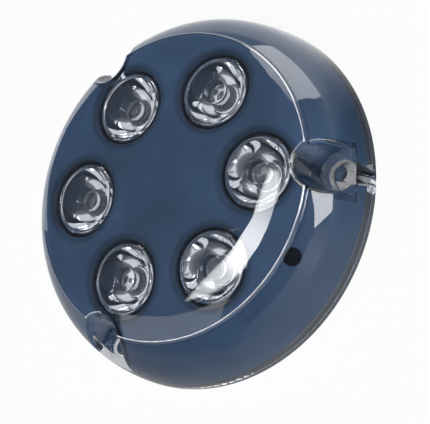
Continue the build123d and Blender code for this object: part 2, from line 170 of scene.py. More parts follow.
class Shader:
    """Adds shader nodes to one tree and links them, with inputs given by name."""

    def __init__(self, tree):
        self.tree = tree

    def add(self, kind, inputs=None, **settings):
        return new_node(self.tree, kind, inputs, settings)

    def math(self, operation, *values):
        return self.add("ShaderNodeMath", dict(enumerate(values)), operation=operation).outputs[0]

    def hypot(self, first, second):
        """Length of the longest side over two sides that meet square."""
        squares = self.math("MULTIPLY", first, first), self.math("MULTIPLY", second, second)
        return self.math("SQRT", self.math("ADD", *squares))

    def ramp(self, value, low, high, start=0.0, end=1.0):
        inputs = {"Value": value, "From Min": low, "From Max": high, "To Min": start, "To Max": end}
        return self.add("ShaderNodeMapRange", inputs).outputs[0]

    def noise(self, vector, scale, detail=3.0, roughness=0.5):
        inputs = {"Vector": vector, "Scale": scale, "Detail": detail, "Roughness": roughness}
        return self.add("ShaderNodeTexNoise", inputs).outputs["Fac"]

    def shade(self, colour, share):
        """A colour made darker or lighter by this share."""
        return self.add("ShaderNodeVectorMath", {0: colour, 1: share}, operation="MULTIPLY").outputs[0]

    def group(self, name, inputs):
        """The outputs of a named shader group, with its inputs given."""
        return self.add("ShaderNodeGroup", inputs, node_tree=group(name)).outputs


def shader_group(name, inputs, outputs, build):
    """A shader node group with named sockets, filled by build, which turns its inputs into its outputs."""
    tree = bpy.data.node_groups.new(name, "ShaderNodeTree")
    for label, kind, default in inputs:
        socket = tree.interface.new_socket(label, in_out="INPUT", socket_type=kind)
        if default is not None:
            socket.default_value = default
    for label, kind in outputs:
        tree.interface.new_socket(label, in_out="OUTPUT", socket_type=kind)
    shader = Shader(tree)
    given = tree.nodes.new("NodeGroupInput")
    made = build(shader, given.outputs)
    result = tree.nodes.new("NodeGroupOutput")
    for label, _ in outputs:
        tree.links.new(made[label], result.inputs[label])
    return tree


def moulded_grain(shader, given):
    """Fine spark-eroded grain of a moulded part, with slow colour drift."""
    fine = shader.noise(given["Vector"], given["Grain Scale"], 4.0, 0.6)
    slow = shader.noise(given["Vector"], given["Drift Scale"], 2.0)
    tint = shader.shade(given["Color"], shader.ramp(slow, 0.35, 0.65, 0.86, 1.14))
    rough = shader.ramp(fine, 0.3, 0.7, -0.06, 0.06)
    return {"Color": tint, "Height": fine, "Roughness": shader.math("ADD", rough, given["Roughness"])}


def handling_marks(shader, given):
    """Hairline scratches in three directions and faint smears, as a height and a roughness."""
    height = None
    for turn, stretch in ((0.4, 30.0), (1.9, 36.0), (2.7, 24.0)):
        placed = {"Vector": given["Vector"], "Rotation": (0.3, 0.2, turn), "Scale": (1.0, stretch, 1.0)}
        mapped = shader.add("ShaderNodeMapping", placed)
        lines = shader.noise(mapped.outputs[0], given["Scale"], 1.0)
        crest = shader.ramp(lines, 0.735, 0.78)
        height = crest if height is None else shader.math("MAXIMUM", height, crest)
    smear = shader.ramp(shader.noise(given["Vector"], given["Smear Scale"], 4.0), 0.45, 0.75)
    rough = shader.math("MULTIPLY_ADD", smear, given["Smear"], given["Roughness"])
    rough = shader.math("MULTIPLY_ADD", height, given["Scratch"], rough)
    return {"Height": height, "Roughness": rough}


def moulding_flow(shader, given):
    """Long soft waves that a clear moulding shows in its reflections."""
    return {"Height": shader.noise(given["Vector"], given["Scale"], 1.0)}


def brushed_lines(shader, given):
    """Fine turned or brushed lines on metal."""
    mapped = shader.add("ShaderNodeMapping", {"Vector": given["Vector"], "Scale": (1.0, 1.0, 14.0)})
    lines = shader.noise(mapped.outputs[0], given["Scale"], 3.0, 0.7)
    rough = shader.math("ADD", shader.ramp(lines, 0.3, 0.7, -0.08, 0.08), given["Roughness"])
    tint = shader.shade(given["Color"], shader.ramp(lines, 0.3, 0.7, 0.88, 1.08))
    return {"Color": tint, "Height": lines, "Roughness": rough}


def ring_of_spots(shader, given):
    """Distance to the nearest of a ring of spots, seen along the light's axis, and the height."""
    x, y, z = shader.add("ShaderNodeSeparateXYZ", {0: given["Vector"]}).outputs
    half_step = shader.math("DIVIDE", math.pi, given["Count"])
    back_step = shader.math("MULTIPLY", half_step, -1.0)
    angle = shader.math("WRAP", shader.math("ARCTAN2", y, x), half_step, back_step)
    reach = shader.hypot(x, y)
    across = shader.math("MULTIPLY", reach, shader.math("SINE", angle))
    along = shader.math("MULTIPLY", reach, shader.math("COSINE", angle))
    away = shader.hypot(shader.math("SUBTRACT", along, given["Circle"]), across)
    return {"Distance": away, "Height": z}


def crease_line(shader, given):
    """One on the rounding of the front's crease, fading to nothing beside it."""
    x, y, z = shader.add("ShaderNodeSeparateXYZ", {0: given["Vector"]}).outputs
    out = shader.math("SUBTRACT", shader.hypot(x, y), given["Radius"])
    up = shader.math("SUBTRACT", z, given["Height"])
    away = shader.math("DIVIDE", shader.hypot(out, up), given["Width"])
    return {"Mask": shader.ramp(away, 0.85, 1.0, 1.0, 0.0)}


VECTOR = ("Vector", "NodeSocketVector", None)
FLOAT, COLOR = "NodeSocketFloat", "NodeSocketColor"

# Shader groups by name: inputs with their defaults, outputs, and the function that fills the group
GROUPS = {
    "Ring Of Spots": (
        [VECTOR, ("Count", FLOAT, 3.0), ("Circle", FLOAT, HOLE_CIRCLE)],
        [("Distance", FLOAT), ("Height", FLOAT)],
        ring_of_spots,
    ),
    "Crease Line": (
        [
            VECTOR,
            ("Radius", FLOAT, CREASE_RADIUS),
            ("Height", FLOAT, CREASE_HEIGHT),
            ("Width", FLOAT, CREASE_WIDTH),
        ],
        [("Mask", FLOAT)],
        crease_line,
    ),
    "Moulded Grain": (
        [
            VECTOR,
            ("Color", COLOR, (0.5, 0.5, 0.5, 1)),
            ("Grain Scale", FLOAT, 2500.0),
            ("Drift Scale", FLOAT, 40.0),
            ("Roughness", FLOAT, 0.4),
        ],
        [("Color", COLOR), ("Height", FLOAT), ("Roughness", FLOAT)],
        moulded_grain,
    ),
    "Handling Marks": (
        [
            VECTOR,
            ("Scale", FLOAT, 60.0),
            ("Smear Scale", FLOAT, 35.0),
            ("Smear", FLOAT, 0.03),
            ("Scratch", FLOAT, 0.1),
            ("Roughness", FLOAT, 0.02),
        ],
        [("Height", FLOAT), ("Roughness", FLOAT)],
        handling_marks,
    ),
    "Moulding Flow": ([VECTOR, ("Scale", FLOAT, 30.0)], [("Height", FLOAT)], moulding_flow),
    "Brushed Lines": (
        [VECTOR, ("Color", COLOR, (0.6, 0.6, 0.6, 1)), ("Scale", FLOAT, 300.0), ("Roughness", FLOAT, 0.3)],
        [("Color", COLOR), ("Height", FLOAT), ("Roughness", FLOAT)],
        brushed_lines,
    ),
}


def group(name):
    """The named shader group, built on first use."""
    return bpy.data.node_groups.get(name) or shader_group(name, *GROUPS[name])


def new_material(name):
    """An empty material with its node adder, its shader and its Object coordinates."""
    material = bpy.data.materials.new(name)
    material.use_nodes = True
    tree = material.node_tree
    tree.nodes.clear()
    shader = Shader(tree)
    surface = shader.add("ShaderNodeBsdfPrincipled")
    output = shader.add("ShaderNodeOutputMaterial")
    tree.links.new(surface.outputs[0], output.inputs["Surface"])
    place = shader.add("ShaderNodeTexCoord").outputs["Object"]
    return material, shader, surface, output, place


def bump(shader, surface, height, distance, under=None):
    """Feeds a height to the surface's normal, in metres, on top of another bump."""
    inputs = {"Height": height, "Distance": distance, "Strength": 1.0}
    if under is not None:
        inputs["Normal"] = under
    normal = shader.add("ShaderNodeBump", inputs).outputs[0]
    shader.tree.links.new(normal, surface.inputs["Normal"])
    return normal


def plastic(name, colour, roughness, grain=2500.0, depth=0.02, specular=0.5, painted_well_shade=0.0):
    """Opaque material with moulded grain and slow colour drift, and with painted shade, darker by a share
    round the mouth of each well.
    """
    material, shader, surface, _, place = new_material(name)
    inputs = {"Vector": place, "Color": (*colour, 1), "Grain Scale": grain, "Roughness": roughness}
    marks = shader.group("Moulded Grain", inputs)
    tint = marks["Color"]
    # Painted shade: the colour is darkened round the mouth of each well, fading out by WELL_SHADE_END
    if painted_well_shade:
        spots = shader.group("Ring Of Spots", {"Vector": place, "Count": 6.0, "Circle": WELL_CIRCLE})
        tint = shader.shade(tint, shader.ramp(spots["Distance"], WELL_EDGE, WELL_SHADE_END, 1 - painted_well_shade, 1.0))
    shader.tree.links.new(tint, surface.inputs["Base Color"])
    shader.tree.links.new(marks["Roughness"], surface.inputs["Roughness"])
    surface.inputs["Specular IOR Level"].default_value = specular
    bump(shader, surface, marks["Height"], depth * MM)
    return material


def metal(name, colour, roughness):
    """Brushed or turned metal."""
    material, shader, surface, _, place = new_material(name)
    inputs = {"Vector": place, "Color": (*colour, 1), "Scale": 300.0, "Roughness": roughness}
    lines = shader.group("Brushed Lines", inputs)
    shader.tree.links.new(lines["Color"], surface.inputs["Base Color"])
    shader.tree.links.new(lines["Roughness"], surface.inputs["Roughness"])
    surface.inputs["Metallic"].default_value = 1.0
    bump(shader, surface, lines["Height"], 0.01 * MM)
    return material


def clear(name, colour, ior, marks=None, flow=0.0, shadow=(1.0, 1.0, 1.0), seats=0.0, crease=False):
    """Clear plastic with hairline marks and moulding waves, duller spot faces and a shinier crease line."""
    material, shader, surface, output, place = new_material(name)
    surface.inputs["Base Color"].default_value = (*colour, 1)
    surface.inputs["Transmission Weight"].default_value = 1.0
    surface.inputs["IOR"].default_value = ior
    normal = None
    if crease:
        line = shader.group("Crease Line", {"Vector": place})
        shader.tree.links.new(line["Mask"], surface.inputs["Coat Weight"])
        surface.inputs["Coat IOR"].default_value = CREASE_COAT_IOR
    if flow:
        waves = shader.group("Moulding Flow", {"Vector": place})
        normal = bump(shader, surface, waves["Height"], flow * MM)
    if marks:
        worn = shader.group("Handling Marks", {"Vector": place, **marks})
        rough = worn["Roughness"]
        if seats:
            seat = shader.group("Ring Of Spots", {"Vector": place})
            level = shader.math("COMPARE", seat["Height"], SPOT_FACE_HEIGHT, 0.05 * MM)
            near = shader.math("LESS_THAN", seat["Distance"], SPOT_FACE_RADIUS)
            mask = shader.math("MULTIPLY", level, near)
            rough = shader.math("MULTIPLY_ADD", mask, seats, rough)
        shader.tree.links.new(rough, surface.inputs["Roughness"])
        bump(shader, surface, worn["Height"], 0.002 * MM, under=normal)
    else:
        surface.inputs["Roughness"].default_value = 0.0
    through = shader.add("ShaderNodeBsdfTransparent", {"Color": (*shadow, 1)}).outputs[0]
    shadowed = shader.add("ShaderNodeLightPath").outputs["Is Shadow Ray"]
    mixed = shader.add("ShaderNodeMixShader", {0: shadowed, 1: surface.outputs[0], 2: through})
    shader.tree.links.new(mixed.outputs[0], output.inputs["Surface"])
    return material


# Geometry nodes


class Geometry:
    """Builds one geometry node tree with named inputs."""

    def __init__(self, name, inputs):
        self.tree = bpy.data.node_groups.new(name, "GeometryNodeTree")
        self.tree.is_modifier = True
        self.tree.interface.new_socket("Geometry", in_out="OUTPUT", socket_type="NodeSocketGeometry")
        for label, kind, default in inputs:
            socket = self.tree.interface.new_socket(label, in_out="INPUT", socket_type=kind)
            if default is not None:
                socket.default_value = default
        self.given = self.tree.nodes.new("NodeGroupInput").outputs

    def add(self, kind, inputs=None, **settings):
        return new_node(self.tree, kind, inputs, settings).outputs

    def math(self, operation, *values):
        return self.add("ShaderNodeMath", dict(enumerate(values)), operation=operation)[0]

    def finish(self, geometry):
        """Ends the tree in Realize Instances and Set Material."""
        real = self.add("GeometryNodeRealizeInstances", {"Geometry": geometry})[0]
        inputs = {"Geometry": real, "Material": self.given["Material"]}
        painted = self.add("GeometryNodeSetMaterial", inputs)[0]
        output = self.tree.nodes.new("NodeGroupOutput")
        self.tree.links.new(painted, output.inputs[0])
        return self.tree


INT, OBJECT, MATERIAL = "NodeSocketInt", "NodeSocketObject", "NodeSocketMaterial"


def turned_tree():
    """Turns a row of profile points, given as a mesh in the XZ plane, round the Z axis."""
    inputs = [
        ("Profile", OBJECT, None),
        ("Points", INT, 2),
        ("Segments", INT, 96),
        ("Material", MATERIAL, None),
    ]
    tree = Geometry("Turned Profile", inputs)
    profile = tree.add("GeometryNodeObjectInfo", {"Object": tree.given["Profile"]})["Geometry"]
    columns = tree.math("ADD", tree.given["Segments"], 1)
    sizes = {"Size X": 1.0, "Size Y": 1.0, "Vertices X": columns, "Vertices Y": tree.given["Points"]}
    grid = tree.add("GeometryNodeMeshGrid", sizes)
    index = tree.add("GeometryNodeInputIndex")[0]
    row = tree.math("FLOORED_MODULO", index, tree.given["Points"])
    column = tree.math("FLOOR", tree.math("DIVIDE", tree.math("ADD", index, 0.25), tree.given["Points"]))
    where = tree.add("GeometryNodeInputPosition")[0]
    looked_up = {"Geometry": profile, "Value": where, "Index": row}
    sampled = tree.add("GeometryNodeSampleIndex", looked_up, data_type="FLOAT_VECTOR", domain="POINT")[0]
    parts = tree.add("ShaderNodeSeparateXYZ", {0: sampled})
    angle = tree.math("MULTIPLY", tree.math("DIVIDE", column, tree.given["Segments"]), math.tau)
    x = tree.math("MULTIPLY", parts["X"], tree.math("COSINE", angle))
    y = tree.math("MULTIPLY", parts["X"], tree.math("SINE", angle))
    spot = tree.add("ShaderNodeCombineXYZ", {0: x, 1: y, 2: parts["Z"]})[0]
    placed = tree.add("GeometryNodeSetPosition", {"Geometry": grid["Mesh"], "Position": spot})[0]
    merged = tree.add("GeometryNodeMergeByDistance", {"Geometry": placed, "Distance": 1e-6})[0]
    return tree.finish(merged)


def ring_tree():
    """Stands copies of a piece on a circle, the first on the X axis, leaning outwards by the tilt."""
    inputs = [
        ("Piece", OBJECT, None),
        ("Count", INT, 6),
        ("Circle", FLOAT, 0.03),
        ("Height", FLOAT, 0.0),
        ("Tilt", FLOAT, 0.0),
        ("Material", MATERIAL, None),
    ]
    tree = Geometry("Ring Of Pieces", inputs)
    piece = tree.add("GeometryNodeObjectInfo", {"Object": tree.given["Piece"]})["Geometry"]
    index = tree.add("GeometryNodeInputIndex")[0]
    step = tree.math("DIVIDE", math.tau, tree.given["Count"])
    angle = tree.math("MULTIPLY", index, step)
    sine, cosine = tree.math("SINE", angle), tree.math("COSINE", angle)
    x = tree.math("MULTIPLY", tree.given["Circle"], cosine)
    y = tree.math("MULTIPLY", tree.given["Circle"], sine)
    spot = tree.add("ShaderNodeCombineXYZ", {0: x, 1: y, 2: tree.given["Height"]})[0]
    points = tree.add("GeometryNodePoints", {"Count": tree.given["Count"], "Position": spot})[0]
    across = tree.add("ShaderNodeCombineXYZ", {0: tree.math("MULTIPLY", sine, -1.0), 1: cosine, 2: 0.0})[0]
    lean = tree.add("FunctionNodeAxisAngleToRotation", {"Axis": across, "Angle": tree.given["Tilt"]})[0]
    copies = {"Points": points, "Instance": piece, "Rotation": lean}
    stood = tree.add("GeometryNodeInstanceOnPoints", copies)[0]
    return tree.finish(stood)


TREES = {"Turned Profile": turned_tree, "Ring Of Pieces": ring_tree}


def grown(name, tree_name, values):
    """Runs a geometry tree on a new object and returns the result as a plain mesh object."""
    tree = bpy.data.node_groups.get(tree_name) or TREES[tree_name]()
    maker = bpy.data.objects.new(name + "_maker", bpy.data.meshes.new(name + "_maker"))
    bpy.context.scene.collection.objects.link(maker)
    modifier = maker.modifiers.new("Nodes", "NODES")
    modifier.node_group = tree
    identifiers = {item.name: item.identifier for item in tree.interface.items_tree if item.in_out == "INPUT"}
    for label, value in values.items():
        modifier[identifiers[label]] = value
    bpy.context.view_layer.update()
    graph = bpy.context.evaluated_depsgraph_get()
    mesh = bpy.data.meshes.new_from_object(maker.evaluated_get(graph))
    bpy.data.objects.remove(maker)
    mesh.name = name
    made = bpy.data.objects.new(name, mesh)
    bpy.context.scene.collection.objects.link(made)
    return made


def turned(name, profile, segments, material):
    """A solid turned from its closed profile, a list of (radius, height) in millimetres."""
    points = bpy.data.meshes.new(name + "_profile")
    edges = [(i, i + 1) for i in range(len(profile) - 1)]
    points.from_pydata([(r * MM, 0, z * MM) for r, z in profile], edges, [])
    guide = bpy.data.objects.new(name + "_profile", points)
    bpy.context.scene.collection.objects.link(guide)
    values = {"Profile": guide, "Points": len(profile), "Segments": segments, "Material": material}
    made = grown(name, "Turned Profile", values)
    bpy.data.objects.remove(guide)
    return tidy(made)


SHARP = math.radians(30)


def tidy(piece):
    """Merges doubles, drops flat leftovers, points the faces outwards and smooths all but the sharp edges."""
    work = bmesh.new()
    work.from_mesh(piece.data)
    bmesh.ops.remove_doubles(work, verts=work.verts, dist=1e-6)
    bmesh.ops.dissolve_degenerate(work, edges=work.edges, dist=1e-7)
    bmesh.ops.recalc_face_normals(work, faces=work.faces)
    for face in work.faces:
        face.smooth = True
    work.to_mesh(piece.data)
    work.free()
    piece.data.set_sharp_from_angle(angle=SHARP)
    return piece


def ring(name, piece, material, count, circle, height, tilt):
    """Copies of a piece on a circle, as one mesh object. The piece itself is used up."""
    values = {
        "Piece": piece,
        "Count": count,
        "Circle": circle,
        "Height": height,
        "Tilt": tilt,
        "Material": material,
    }
    made = grown(name, "Ring Of Pieces", values)
    bpy.data.objects.remove(piece)
    return made


def show(piece, slot, *replaced):
    """Hangs a finished piece on the frame in place of CAD nodes."""
    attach(piece, "root")
    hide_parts(*replaced)


def cad_copy(node, name, material):
    """A merged copy of a CAD node's mesh, smooth but for its sharp edges."""
    mesh = nodes[node].data.copy()
    mesh.name = name
    made = bpy.data.objects.new(name, mesh)
    bpy.context.scene.collection.objects.link(made)
    mesh.materials.clear()
    mesh.materials.append(material)
    if mesh.has_custom_normals:
        mesh.attributes.remove(mesh.attributes["custom_normal"])
    return tidy(made)


# The housing's outside as turned arcs, in millimetres and degrees: the radius and height of the centre, the
# arc's radius, and the lowest and highest angle of its normal
PROFILE = [
    (0.0, -373.53333, 404.53333, 83.756, 90.0),
    (38.96163, -17.44768, 46.3225, 71.187, 83.756),
    (39.99277, 5.26104, 24.26192, 16.126, 54.45),
    (21.79706, 0.0, 43.20294, 0.0, 16.126),
]
ARC_SLACK = 0.05  # degrees that a point may lie beyond the end of its arc
ON_PROFILE, NEAR_PROFILE = 0.004 * MM, 0.08 * MM  # how close a point and the middle of an edge have to be
SAME_PLACE = 2e-6  # metres between two radii or two heights that count as the same
SHELL_EDGE, BONDED_EDGE = 2.1, 1.8  # millimetres, the longest edge left on the profile
SHELL_SHARP = math.radians(25)
BONDED_FACE = 3.05  # millimetres inside the profile, where the bonded pieces' faces lie in the CAD
BONDED_REACH, BONDED_INSET = 0.12 * MM, 0.06 * MM  # how close a face has to be, and where it is then put


def on_profile(points, inset):
    """Nearest places on the turned profile, moved in by inset, with its normals and their distances."""
    reach, height = np.hypot(points[:, 0], points[:, 1]), points[:, 2]
    side = points[:, :2] / np.maximum(reach, 1e-9)[:, None]
    place, normal, best = points.copy(), np.zeros_like(points), np.full(len(points), 1.0)
    for centre_radius, centre_height, radius, low, high in PROFILE:
        out, up = reach - centre_radius * MM, height - centre_height * MM
        length, turn, size = np.hypot(out, up), np.degrees(np.arctan2(up, out)), (radius - inset) * MM
        gap = np.abs(length - size)
        take = (turn > low - ARC_SLACK) & (turn < high + ARC_SLACK) & (gap < best)
        out, up = (out / length)[take], (up / length)[take]
        new_reach = centre_radius * MM + out * size
        place[take] = np.column_stack([side[take] * new_reach[:, None], centre_height * MM + up * size])
        normal[take] = np.column_stack([side[take] * out[:, None], up])
        best[take] = gap[take]
    return place, normal, best


def points_of(vertices):
    """Positions of mesh or bmesh vertices as rows."""
    return np.array([v.co for v in vertices])


def refined(piece, insets, longest):
    """Splits the long edges of the faces that lie on the turned profile, and sets the new points on it."""
    work = bmesh.new()
    work.from_mesh(piece.data)
    for _ in range(6):
        work.verts.index_update()
        points = points_of(work.verts)
        long = [e for e in work.edges if e.calc_length() > longest * MM]
        ends = np.array([[v.index for v in e.verts] for e in long]).reshape(-1, 2)
        place, found = np.zeros((len(long), 3)), np.zeros(len(long), dtype=bool)
        first, second = points[ends[:, 0]], points[ends[:, 1]]
        middle = (first + second) / 2
        for inset in insets:
            near = on_profile(points, inset)[2] < ON_PROFILE
            spot, _, gap = on_profile(middle, inset)
            take = near[ends].all(1) & (gap < NEAR_PROFILE) & ~found
            place[take], found = spot[take], found | take
        reach = np.hypot(first[:, 0], first[:, 1])
        level = np.abs(reach - np.hypot(second[:, 0], second[:, 1])) < SAME_PLACE
        level &= np.abs(first[:, 2] - second[:, 2]) < SAME_PLACE
        rounded = middle[:, :2] * (reach / np.maximum(np.hypot(middle[:, 0], middle[:, 1]), 1e-9))[:, None]
        place[level] = np.column_stack([rounded, middle[:, 2]])[level]
        if not found.any():
            break
        for index in np.flatnonzero(found):
            edge = long[index]
            _, vertex = bmesh.utils.edge_split(edge, edge.verts[0], 0.5)
            vertex.co = place[index]
        bmesh.ops.triangulate(work, faces=[f for f in work.faces if len(f.verts) > 3])
    for face in work.faces:
        face.smooth = True
    work.to_mesh(piece.data)
    work.free()
    return piece


def eased_crease(piece):
    """Rounds the sharp crease that runs round the front."""
    work = bmesh.new()
    work.from_mesh(piece.data)

    def on_edge(vertex):
        reach = math.hypot(vertex.co.x, vertex.co.y)
        return math.hypot(reach - CREASE_RADIUS, vertex.co.z - CREASE_HEIGHT) < 0.01 * MM

    edges = [e for e in work.edges if on_edge(e.verts[0]) and on_edge(e.verts[1])]
    settings = {"segments": 5, "profile": 0.5, "affect": "EDGES", "clamp_overlap": True}
    bmesh.ops.bevel(work, geom=edges, offset=CREASE_WIDTH, **settings)
    bmesh.ops.triangulate(work, faces=[f for f in work.faces if len(f.verts) > 3])
    for face in work.faces:
        face.smooth = True
    work.to_mesh(piece.data)
    work.free()
    return piece


def true_normals(piece, insets):
    """Gives faces on the turned profile its true normals, and leaves the rest smooth but for sharp edges."""
    mesh = piece.data
    mesh.set_sharp_from_angle(angle=SHELL_SHARP)
    corners = np.empty(len(mesh.loops) * 3, dtype=np.float32)
    mesh.corner_normals.foreach_get("vector", corners)
    corners = corners.reshape(-1, 3)
    owners = np.empty(len(mesh.loops), dtype=np.int32)
    mesh.loops.foreach_get("vertex_index", owners)
    points = points_of(mesh.vertices)[owners]
    facing = np.empty(len(mesh.polygons) * 3, dtype=np.float32)
    mesh.polygons.foreach_get("normal", facing)
    facing = np.repeat(facing.reshape(-1, 3), 3, axis=0)
    for inset in insets:
        _, normal, gap = on_profile(points, inset)
        normal *= 1 if inset == 0 else -1
        take = (gap < 0.006 * MM) & ((normal * facing).sum(1) > math.cos(math.radians(12)))
        take = np.repeat(take.reshape(-1, 3).all(1), 3)
        corners[take] = normal[take]
    mesh.normals_split_custom_set(corners)
    return piece


def bonded(node, name, material):
    """A copy of a CAD node with its faces next to the housing set just inside the plastic, as if bonded."""
    made = refined(cad_copy(node, name, material), [BONDED_FACE], BONDED_EDGE)
    shell = bpy.data.objects["clear_housing_shell"].data
    tree = BVHTree.FromPolygons([v.co for v in shell.vertices], [p.vertices for p in shell.polygons])
    for vertex in made.data.vertices:
        near, normal, _, _ = tree.find_nearest(vertex.co, BONDED_REACH)
        if near is not None:
            vertex.co = near - normal * BONDED_INSET
    made.data.update()
    made.data.set_sharp_from_angle(angle=SHARP)
    return made


def paint(node, material):
    """Gives a CAD node that stays as it is a better material."""
    nodes[node].data.materials.clear()
    nodes[node].data.materials.append(material)


def arc(start, end, bulge, steps):
    """Points from start to end on an arc that bulges to the right of its direction, without the start."""
    run, rise = end[0] - start[0], end[1] - start[1]
    chord = math.hypot(run, rise)
    radius = (chord**2 / 4 + bulge**2) / (2 * abs(bulge))
    side = 1 if bulge > 0 else -1
    middle = ((start[0] + end[0]) / 2, (start[1] + end[1]) / 2)
    across = (rise / chord * side, -run / chord * side)
    inward = radius - abs(bulge)
    centre = (middle[0] - across[0] * inward, middle[1] - across[1] * inward)
    first = math.atan2(start[1] - centre[1], start[0] - centre[0])
    sweep = math.atan2(end[1] - centre[1], end[0] - centre[0]) - first
    sweep = (sweep + math.pi) % math.tau - math.pi
    angles = [first + sweep * i / steps for i in range(1, steps + 1)]
    return [(centre[0] + radius * math.cos(a), centre[1] + radius * math.sin(a)) for a in angles]


# Operators, one for each piece or group of like pieces


class LIGHT_OT_housing(bpy.types.Operator):
    """Make the clear domed housing"""

    bl_idname = "underwater_light.housing"
    bl_label = "Clear Housing"

    def execute(self, context):
        colours = context.scene.light_colours
        marks = {"Scale": 45.0, "Smear": 0.012, "Scratch": 0.05, "Roughness": 0.004}
        extras = {"flow": 0.03, "shadow": (0.90, 0.93, 0.95), "seats": 0.06, "crease": True}
        material = clear("clear_polycarbonate", colours.shell, 1.58, marks, **extras)
        insets = [0.0, WALL / MM]
        shell = cad_copy("clear_housing", "clear_housing_shell", material)
        shell = eased_crease(refined(shell, insets, SHELL_EDGE))
        show(true_normals(shell, insets), "clear_shell", "clear_housing")
        return {"FINISHED"}


class LIGHT_OT_carrier(bpy.types.Operator):
    """Make the slate-blue carrier and its black fill plug"""

    bl_idname = "underwater_light.carrier"
    bl_label = "Optic Carrier"

    def execute(self, context):
        colours = context.scene.light_colours
        # The slate carrier gets painted shade round the mouth of each well
        looks = {"grain": 900.0, "depth": 0.012, "specular": 0.08, "painted_well_shade": 0.72}
        slate = plastic("slate_carrier", colours.carrier, 0.4, **looks)
        show(bonded("optic_carrier", "optic_carrier_body", slate), "slate_carrier", "optic_carrier")
        rubber = plastic("black_rubber_plug", (0.004, 0.007, 0.014), 0.3, grain=1800.0, specular=0.08)
        show(bonded("fill_plug", "fill_plug_black", rubber), "seal_rubber", "fill_plug")
        return {"FINISHED"}


LENS_FOOT = 0.8  # millimetres from the board to the foot of an optic


def lens_profile():
    """Half section of an optic as (radius, height) in millimetres, from the emitter pocket to the bore."""
    points = [(0.0, 2.9)]
    points += arc((0.0, 2.9), (3.5, 4.0), 0.37, 10)
    points += [(3.9, 0.0), (4.9, 0.0)]
    points += arc((4.9, 0.0), (11.15, 9.9), 0.5, 18)
    points += [(11.75, 9.9), (11.75, 11.1), (11.65, 11.2), (11.25, 11.2), (11.15, 11.15)]
    points += [(10.75, 10.8), (4.3, 10.8), (3.9, 7.6)]
    points += arc((3.9, 7.6), (0.0, 8.7), 0.37, 10)
    return points


def add_ears(lens, turn):
    """Joins two small ears to the rim of a lens, on opposite sides of it."""
    low, high = 10.7 * MM, 11.7 * MM
    inner, outer, half = 11.45 * MM, 12.35 * MM, 1.5 * MM
    for side in (turn, turn + math.pi):
        work = bmesh.new()
        size = Matrix.Diagonal((outer - inner, 2 * half, high - low, 1.0))
        place = Matrix.Rotation(side, 4, "Z") @ Matrix.Translation(((inner + outer) / 2, 0, (low + high) / 2))
        bmesh.ops.create_cube(work, size=1.0, matrix=place @ size)
        bmesh.ops.bevel(work, geom=work.edges[:], offset=0.15 * MM, segments=2, profile=0.5, affect="EDGES")
        mesh = bpy.data.meshes.new("ear")
        work.to_mesh(mesh)
        work.free()
        ear = bpy.data.objects.new("ear", mesh)
        bpy.context.scene.collection.objects.link(ear)
        union = lens.modifiers.new("Ear", "BOOLEAN")
        union.operation, union.solver, union.object = "UNION", "EXACT", ear
        bpy.context.view_layer.update()
        graph = bpy.context.evaluated_depsgraph_get()
        joined = bpy.data.meshes.new_from_object(lens.evaluated_get(graph))
        lens.modifiers.clear()
        lens.data = joined
        bpy.data.objects.remove(ear)
    return tidy(lens)


class LIGHT_OT_optics(bpy.types.Operator):
    """Make the ring of clear optics with their ears, and the dark slate cups that hold them"""

    bl_idname = "underwater_light.optics"
    bl_label = "Optics And Holders"

    def execute(self, context):
        sizes, colours = context.scene.optic_sizes, context.scene.light_colours
        acrylic = clear("clear_acrylic", (0.985, 0.99, 1.0), 1.49)
        lifted = [(r, z + LENS_FOOT) for r, z in lens_profile()]
        lens = turned("optic_lens", lifted, sizes.segments, acrylic)
        lens = add_ears(lens, sizes.ear_turn)
        numbers = [f"optic_lens_{i}" for i in range(1, 7)]
        lenses = ring("optic_lenses", lens, acrylic, sizes.count, sizes.circle, sizes.board_top, sizes.tilt)
        show(lenses, "clear_optic", *numbers)
        slate = plastic("slate_holder", colours.holder, 0.5, grain=3000.0, depth=0.01, specular=0.1)
        for i in range(1, 7):
            paint(f"lens_holder_{i}", slate)
        return {"FINISHED"}


class LIGHT_OT_emitters(bpy.types.Operator):
    """Give the emitters, their domes and the board under them their materials"""

    bl_idname = "underwater_light.emitters"
    bl_label = "Emitters And Board"

    def execute(self, context):
        ceramic = plastic("emitter_ceramic", (0.24, 0.24, 0.25), 0.35, grain=5000.0, depth=0.004)
        gel = clear("emitter_silicone", (1.0, 0.99, 0.97), 1.41)
        for i in range(1, 7):
            paint(f"emitter_{i}", ceramic)
            paint(f"emitter_dome_{i}", gel)
        paint("led_board", plastic("board_dark_mask", (0.06, 0.075, 0.10), 0.3, grain=4000.0, depth=0.004))
        return {"FINISHED"}


class LIGHT_OT_inside(bpy.types.Operator):
    """Give the heat sink, the driver and the links inside their materials"""

    bl_idname = "underwater_light.inside"
    bl_label = "Driver And Heat Sink"

    def execute(self, context):
        black = plastic("component_black", (0.015, 0.015, 0.017), 0.4)
        steel = metal("stainless_screw", (0.55, 0.55, 0.56), 0.28)
        finishes = {
            "thermal_pad": plastic("pad_silicone", (0.20, 0.22, 0.25), 0.7),
            "heat_sink": metal("sink_aluminium", (0.68, 0.69, 0.70), 0.36),
            "board_screws": steel,
            "driver_screws": steel,
            "driver_board": plastic("board_green_mask", (0.01, 0.11, 0.05), 0.3, grain=4000.0, depth=0.004),
            "driver_inductors": black,
            "driver_capacitors": plastic("component_tan", (0.35, 0.22, 0.12), 0.45),
            "driver_controller": black,
            "driver_diodes": black,
            "supply_terminal": plastic("terminal_grey", (0.12, 0.13, 0.14), 0.45),
            "link_pins": metal("pin_brass", (0.72, 0.55, 0.28), 0.3),
            "link_sleeves": black,
        }
        for node, material in finishes.items():
            paint(node, material)
        return {"FINISHED"}


